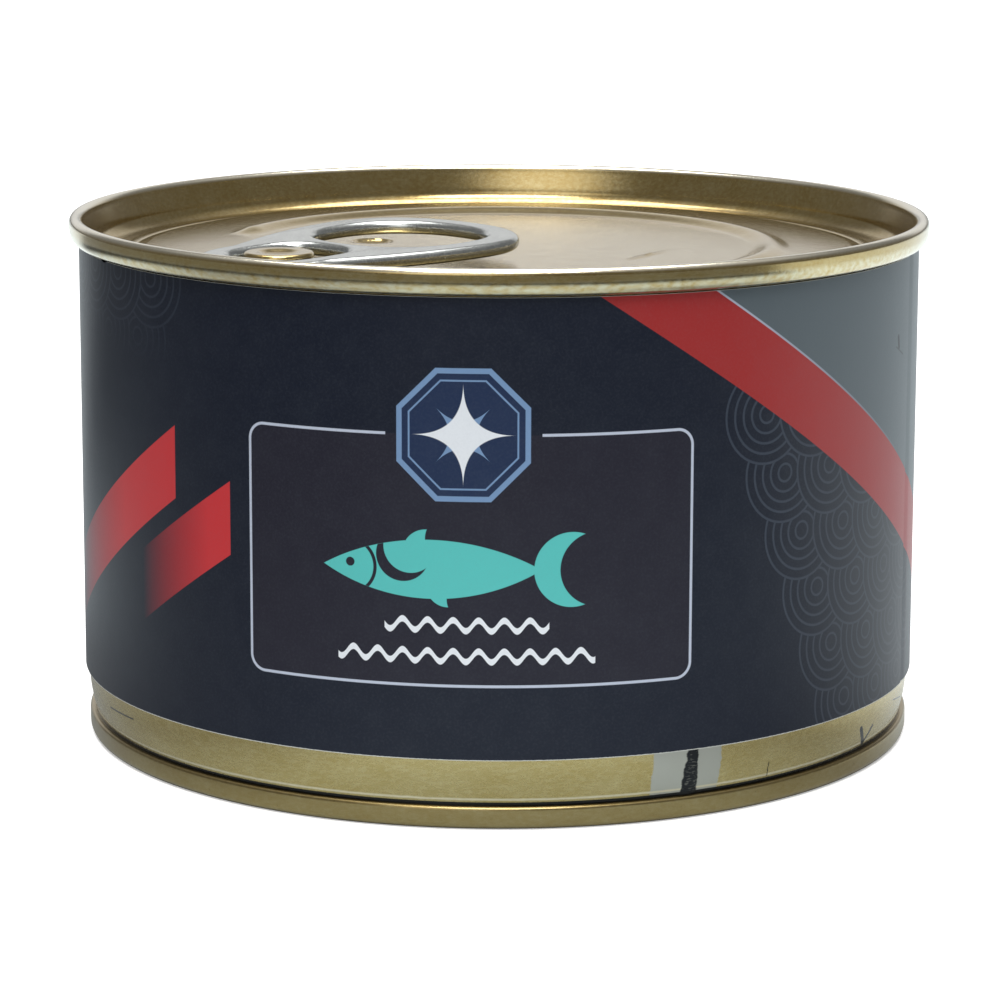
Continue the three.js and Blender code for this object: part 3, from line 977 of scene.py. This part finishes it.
PAPER_SPECULAR = 0.3
PAPER_ROUGHNESS = 0.34
PAPER_UNEVEN = 0.12
PAPER_SKIN = 0.01
CUT_WIDTH = 0.05
CUT_UNEVEN = 0.08
CUT_TOP = 0.03
CUT_TOP_EDGE = (0, 0.02)
CUT_FOOT_EDGE = (0, 0.03)


def paper_print():
    material, tree, shader = new_material("printed paper")
    x, y, z = [axis / MM for axis in axes_of(tree, "Object")]
    s = x.math("ARCTAN2", y * -1) * WRAP_RADIUS
    colour = printed_colour(tree, s, z)
    place = stretched(tree, 1, 1, 1)
    fibre = noise_of(tree, place, 4.5, 3)
    clouds = noise_of(tree, place, 0.4, 2)
    thin_ink = fibre.ramp(0.45, 0.8) * 0.05 + clouds.ramp(0.4, 0.8) * 0.02
    colour = mixed(tree, colour, FIBRE_GREY, thin_ink)
    cut_edge = CUT_WIDTH + fibre * CUT_UNEVEN
    bare_top = (z - WRAP_TOP + CUT_TOP).ramp(*CUT_TOP_EDGE)
    bare_foot = (WRAP_BOTTOM + cut_edge - z).ramp(*CUT_FOOT_EDGE)
    colour = mixed(tree, colour, CUT_PAPER, bare_top.most(bare_foot))
    tree.links.new(colour, shader.inputs["Base Color"])
    rough = PAPER_ROUGHNESS + fibre * PAPER_UNEVEN
    tree.links.new(rough.socket, shader.inputs["Roughness"])
    height = fibre * 0.4 + clouds
    bumped(tree, shader, height.socket, PAPER_SKIN)
    shader.inputs["Specular IOR Level"].default_value = PAPER_SPECULAR
    return material


piece("paper_wrap", [wrap_shape()], paper_print(), "printed_paper", "wrap")


# Lid: an easy-open tinplate end, pale gold lacquer on both faces, rolled over the wall's top
# into the upper double seam. Inside it are the chuck wall, a groove, the score line, a round
# bead with a gap for the ring pull's nose, a thumb dimple, and the rivet raised from the panel.

lid_low, lid_high = [Vector(corner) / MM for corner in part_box("lid")]
CAN_TOP = lid_high.z
SEAM_RADIUS = lid_high.x
SEAM_FOOT = CAN_TOP - 2.55
SEAM_ROUND = 0.65
SKIRT_RADIUS = 42.5
SKIRT_RISE = 1.35
SEAM_BULGE = 0.02
SKIRT_TUCK = 0.1
CHUCK_TOP = (SEAM_RADIUS - 2 * SEAM_ROUND, CAN_TOP - SEAM_ROUND)
CHUCK_FOOT = (41.5, CAN_TOP - 2.7)
GROOVE = (39.6, CAN_TOP - 4.3)
SCORE_RING_OUTER = (38.3, CAN_TOP - 3.8)
SCORE_RING_INNER = (36.4, CAN_TOP - 3.8)
SCORE_RADIUS = 37.3
SCORE_HALF = 0.2
SCORE_DEPTH = 0.12
PANEL_HEIGHT = CAN_TOP - 3.5
PANEL_EDGE = (35.8, PANEL_HEIGHT)
BEAD_OUTER = (29.6, PANEL_HEIGHT)
BEAD_TOP = (27.6, CAN_TOP - 2.95)
BEAD_INNER = (25.4, PANEL_HEIGHT)
BEAD_GAP = (165, 274)
BEAD_TAPER = 7
DIMPLE = Vector((-13, 2.6, 0))
DIMPLE_RADIUS = 2
DIMPLE_DEPTH = 0.5
CREASE_START = Vector((12.6, -11.1, 0))
CREASE_END = Vector((17.3, -3.7, 0))
CREASE_RISE = 0.18
CREASE_HALF = 0.4
CREASE_LEAD = 0.08
CREASE_RUN = 0.9
PANEL_RINGS = 70
LID_SEGMENTS = 360
RIVET = Vector((-21.1, -20.3, 0))
RIVET_SHANK = 2.3
RIVET_SUNK = 0.2
RIVET_HEAD = 3.4
HEAD_CLEAR = 0.3
HEAD_HEIGHT = 0.7
HEAD_FOOT_ROUND = 0.25
HEAD_TOP_ROUND = 0.35
CUP_EDGE = 2.2
CUP_FLOOR = 1.1
CUP_DEPTH = 0.3
RIVET_SEGMENTS = 96
TAB_FOOT = CAN_TOP - 3
TONGUE_THICKNESS = 0.5
PALE_LACQUER = (0.40, 0.275, 0.085, 1)
PALE_THIN = (0.54, 0.44, 0.22, 1)
# Colour of the painted highlight on the seam's top
RIM_HIGHLIGHT = (0.85, 0.80, 0.66, 1)
# Colour of the painted reflection on the seam's lower, down-turned face
SKIRT_REFLECTION = (0.62, 0.61, 0.47, 1)
LID_ROUGHNESS = 0.2
LID_COAT_ROUGHNESS = 0.15
LID_SKIN = 0.012
# Depth, edge and share of the painted highlight on the seam's top
RIM_HIGHLIGHT_DEPTH = 0.5
RIM_HIGHLIGHT_EDGE = (0, 0.3)
RIM_HIGHLIGHT_SHARE = 0.9
# Where the painted reflection on the seam's lower face lies, and how strong it is
SKIRT_REFLECTION_FROM = (42.3, 42.5)
SKIRT_REFLECTION_TOP = 1.2
SKIRT_REFLECTION_EDGE = (-0.15, 0.3)
SKIRT_REFLECTION_SHARE = 0.65


def smooth(value, start, end):
    share = min(1, max(0, (value - start) / (end - start)))
    return share * share * (3 - 2 * share)


def lid_relief(vertex):
    """Interrupts the bead, presses the dimple and folds the short crease in the panel."""
    flat = Vector((vertex.x, vertex.y, 0))
    height = vertex.z
    if flat.length < SCORE_RING_INNER[0] and height > PANEL_HEIGHT:
        turn = math.degrees(math.atan2(vertex.y, vertex.x)) % 360
        gone = smooth(turn, BEAD_GAP[0] - BEAD_TAPER, BEAD_GAP[0])
        back = smooth(turn, BEAD_GAP[1], BEAD_GAP[1] + BEAD_TAPER)
        height = PANEL_HEIGHT + (height - PANEL_HEIGHT) * (1 - gone + back)
    if flat.length < BEAD_INNER[0]:
        from_dimple = (flat - DIMPLE).length / DIMPLE_RADIUS
        if from_dimple < 1:
            height -= DIMPLE_DEPTH * math.sqrt(1 - from_dimple ** 2)
        run = CREASE_END - CREASE_START
        share = min(1, max(0, (flat - CREASE_START).dot(run) / run.length_squared))
        off = (flat - CREASE_START - run * share).length / CREASE_HALF
        if off < 1:
            along = min(1, share * CREASE_RUN + CREASE_LEAD)
            height += CREASE_RISE * (1 - off ** 2) ** 2 * math.sin(math.pi * along)
    return Vector((vertex.x, vertex.y, height))


def seam_face():
    """The seam's face, very slightly barrelled, from its skirt to its top round."""
    foot = SEAM_FOOT + SKIRT_RISE
    head = CAN_TOP - SEAM_ROUND
    heights = [foot + (head - foot) * i / 4 for i in range(1, 4)]
    middle = (foot + head) / 2
    half = (head - foot) / 2
    return [(SEAM_RADIUS - SEAM_BULGE * ((height - middle) / half) ** 2, height) for height in heights]


def lid_tinplate():
    material, tree, shader = new_material("pale gold lid")
    place = stretched(tree, 0.8, 1.4, 1.4)
    sheet = place_group(
        tree, LACQUERED_SHEET, place,
        Colour=PALE_LACQUER, Thin_Colour=PALE_THIN, Roughness=LID_ROUGHNESS,
    )
    x, y, z = [axis / MM for axis in axes_of(tree, "Object")]
    from_axis = (x * x + y * y).root()
    # Painted highlight: the top half millimetre of the seam is made paler.
    rim_highlight = (z - CAN_TOP + RIM_HIGHLIGHT_DEPTH).ramp(*RIM_HIGHLIGHT_EDGE)
    colour = mixed(tree, sheet.outputs["Colour"], RIM_HIGHLIGHT, rim_highlight * RIM_HIGHLIGHT_SHARE)
    # Painted reflection: the lower, down-turned part of the seam's face is made paler in patches.
    skirt_reflection = from_axis.ramp(*SKIRT_REFLECTION_FROM) * (CAN_TOP - SKIRT_REFLECTION_TOP - z).ramp(*SKIRT_REFLECTION_EDGE)
    patchy = noise_of(tree, place, 1.4, 4).ramp(0.3, 0.65)
    colour = mixed(tree, colour, SKIRT_REFLECTION, skirt_reflection * patchy * SKIRT_REFLECTION_SHARE)
    tree.links.new(colour, shader.inputs["Base Color"])
    tree.links.new(sheet.outputs["Roughness"], shader.inputs["Roughness"])
    bumped(tree, shader, sheet.outputs["Height"], LID_SKIN)
    lacquered(shader, LID_COAT_ROUGHNESS)
    return material


def rivet_shape():
    """The rivet button: a shank through the ring pull's tongue and a rounded, cupped head."""
    foot = PANEL_HEIGHT - RIVET_SUNK
    head_foot = TAB_FOOT + TONGUE_THICKNESS + HEAD_CLEAR
    head_top = head_foot + HEAD_HEIGHT
    profile = [
        (0, foot),
        (RIVET_SHANK, foot),
        (RIVET_SHANK, head_foot),
        *arc(RIVET_HEAD - HEAD_FOOT_ROUND, head_foot + HEAD_FOOT_ROUND, HEAD_FOOT_ROUND, -90, 0, 5),
        *arc(RIVET_HEAD - HEAD_TOP_ROUND, head_top - HEAD_TOP_ROUND, HEAD_TOP_ROUND, 0, 90, 6),
        *soft_step((CUP_EDGE, head_top), (CUP_FLOOR, head_top - CUP_DEPTH), 8),
        (0, head_top - CUP_DEPTH),
    ]
    vertices, faces = turned(profile, RIVET_SEGMENTS)
    return [vertex + RIVET for vertex in vertices], faces


lid_profile = [
    (0, lid_low.z),
    (WALL_RADIUS, lid_low.z),
    (WALL_RADIUS, SEAM_FOOT + SKIRT_TUCK),
    *fillet((SKIRT_RADIUS, SEAM_FOOT), (SEAM_RADIUS, SEAM_FOOT + SKIRT_RISE), 14),
    *seam_face(),
    *arc(SEAM_RADIUS - SEAM_ROUND, CAN_TOP - SEAM_ROUND, SEAM_ROUND, 0, 180, 20),
    *straight(CHUCK_TOP, CHUCK_FOOT, 6)[1:-1],
    *reversed(fillet(GROOVE, CHUCK_FOOT, 14)),
    *soft_step(GROOVE, SCORE_RING_OUTER, 10)[1:],
    (SCORE_RADIUS + SCORE_HALF, SCORE_RING_OUTER[1]),
    (SCORE_RADIUS, SCORE_RING_OUTER[1] - SCORE_DEPTH),
    (SCORE_RADIUS - SCORE_HALF, SCORE_RING_OUTER[1]),
    *soft_step(SCORE_RING_INNER, PANEL_EDGE, 8, upright=True),
    *straight(PANEL_EDGE, BEAD_OUTER, 8)[1:],
    *soft_step(BEAD_OUTER, BEAD_TOP, 12)[1:],
    *soft_step(BEAD_TOP, BEAD_INNER, 12)[1:],
    *straight(BEAD_INNER, (0, PANEL_HEIGHT), PANEL_RINGS)[1:],
]
piece(
    "easy_open_lid",
    [turned(lid_profile, LID_SEGMENTS, lid_relief), rivet_shape()],
    lid_tinplate(),
    "lid_tinplate",
    "lid",
)


# Ring pull: bright aluminium strip with its edges curled under, a finger hole at one end and a
# thin tongue in a slot at the other, held to the lid by the rivet through the tongue.

PULL_TURN = 45
PULL_RISE = 0.025
PULL_THICKNESS = 1.4
PULL_ROUND = 0.64
PULL_ROUNDNESS = 2.3
NOSE_LENGTH = 7.6
NOSE_HALF_WIDTH = 7.2
RING_CENTRE = 17
RING_HALF_WIDTH = 11.8
RING_REACH = 9.3
TONGUE_ROUND = 0.1
MERGE_DISTANCE = 0.002
OUTLINE_STEPS = 90
LOOP_POINTS = 120
PULL_ROUGHNESS = 0.14
PULL_UNEVEN = 0.18
PULL_SKIN = 0.008
PULL_DULL = (0.38, 0.395, 0.385, 1)
PULL_BRIGHT = (0.74, 0.76, 0.74, 1)

# Loops along the pull, from the rivet: middle, half length, half width, and the power of the curve
FINGER_HOLE = (16, 7.7, 8.7, 2.3)
SLOT = (1.25, 5.35, 4.9, 3)
TONGUE = (-0.9, 4.8, 3.8, 3)
RIVET_HOLE = (0, 2.65, 2.65, 2)


def pull_half_width(x):
    if x > RING_CENTRE:
        beyond = min(1, (x - RING_CENTRE) / RING_REACH)
        return RING_HALF_WIDTH * (1 - beyond ** PULL_ROUNDNESS) ** (1 / PULL_ROUNDNESS)
    if x > 0:
        share = math.sin(math.pi * x / (2 * RING_CENTRE))
        return NOSE_HALF_WIDTH + (RING_HALF_WIDTH - NOSE_HALF_WIDTH) * share
    ahead = min(1, -x / NOSE_LENGTH)
    return NOSE_HALF_WIDTH * (1 - ahead ** PULL_ROUNDNESS) ** (1 / PULL_ROUNDNESS)


def pull_outline():
    """Outline of the ring pull, close-spaced towards both rounded ends."""
    side = []
    for i in range(OUTLINE_STEPS + 1):
        share = (1 - math.cos(math.pi * i / OUTLINE_STEPS)) / 2
        x = -NOSE_LENGTH + (NOSE_LENGTH + RING_CENTRE + RING_REACH) * share
        side.append((x, -pull_half_width(x)))
    return side + [(x, -y) for x, y in reversed(side[1:-1])]


def rounded_loop(middle, half_length, half_width, power):
    """A superellipse: an ellipse at a power of 2, and squarer above it."""
    points = []
    for i in range(LOOP_POINTS):
        turn = 2 * math.pi * i / LOOP_POINTS
        along = math.copysign(abs(math.cos(turn)) ** (2 / power), math.cos(turn))
        sideways = math.copysign(abs(math.sin(turn)) ** (2 / power), math.sin(turn))
        points.append((middle + half_length * along, half_width * sideways))
    return points


def plate(loops, thickness, rounding):
    """A flat plate from its outline and holes, its edges rounded over, standing on height 0."""
    drawing = bpy.data.curves.new("drawing", "CURVE")
    drawing.dimensions = "2D"
    drawing.fill_mode = "BOTH"
    drawing.extrude = thickness / 2 - rounding
    drawing.bevel_depth = rounding
    drawing.bevel_resolution = 6
    drawing.offset = -rounding
    for loop in loops:
        spline = drawing.splines.new("POLY")
        spline.points.add(len(loop) - 1)
        for point, (x, y) in zip(spline.points, loop):
            point.co = (x, y, 0, 1)
        spline.use_cyclic_u = True
    holder = bpy.data.objects.new("drawing", drawing)
    bpy.context.scene.collection.objects.link(holder)
    shape = bmesh.new()
    shape.from_mesh(holder.to_mesh())
    bmesh.ops.remove_doubles(shape, verts=shape.verts, dist=MERGE_DISTANCE)
    vertices = [vertex.co + Vector((0, 0, thickness / 2)) for vertex in shape.verts]
    faces = [[vertex.index for vertex in face.verts] for face in shape.faces]
    shape.free()
    bpy.data.objects.remove(holder)
    bpy.data.curves.remove(drawing)
    return vertices, faces


def set_in_place(shape):
    place = (
        Matrix.Translation(RIVET + Vector((0, 0, TAB_FOOT)))
        @ Matrix.Rotation(math.radians(PULL_TURN), 4, "Z")
        @ Matrix.Rotation(-PULL_RISE, 4, "Y")
    )
    vertices, faces = shape
    return [place @ vertex for vertex in vertices], faces


def pull_aluminium():
    material, tree, shader = new_material("bright aluminium")
    place = stretched(tree, 1.4, 0.4, 1)
    grain = noise_of(tree, place, 6, 3)
    clouds = noise_of(tree, place, 0.6, 2)
    colour = mixed(tree, PULL_DULL, PULL_BRIGHT, grain.ramp(0.3, 0.7) * 0.6 + clouds * 0.4)
    tree.links.new(colour, shader.inputs["Base Color"])
    rough = PULL_ROUGHNESS + grain * PULL_UNEVEN
    tree.links.new(rough.socket, shader.inputs["Roughness"])
    height = grain * 0.5 + clouds
    bumped(tree, shader, height.socket, PULL_SKIN)
    shader.inputs["Metallic"].default_value = 1
    return material


ring_loops = [pull_outline(), rounded_loop(*FINGER_HOLE), rounded_loop(*SLOT)]
ring = plate(ring_loops, PULL_THICKNESS, PULL_ROUND)
tongue = plate([rounded_loop(*TONGUE), rounded_loop(*RIVET_HOLE)], TONGUE_THICKNESS, TONGUE_ROUND)
piece(
    "ring_pull_tab",
    [set_in_place(ring), set_in_place(tongue)],
    pull_aluminium(),
    "pull_metal",
    "ring_pull",
)
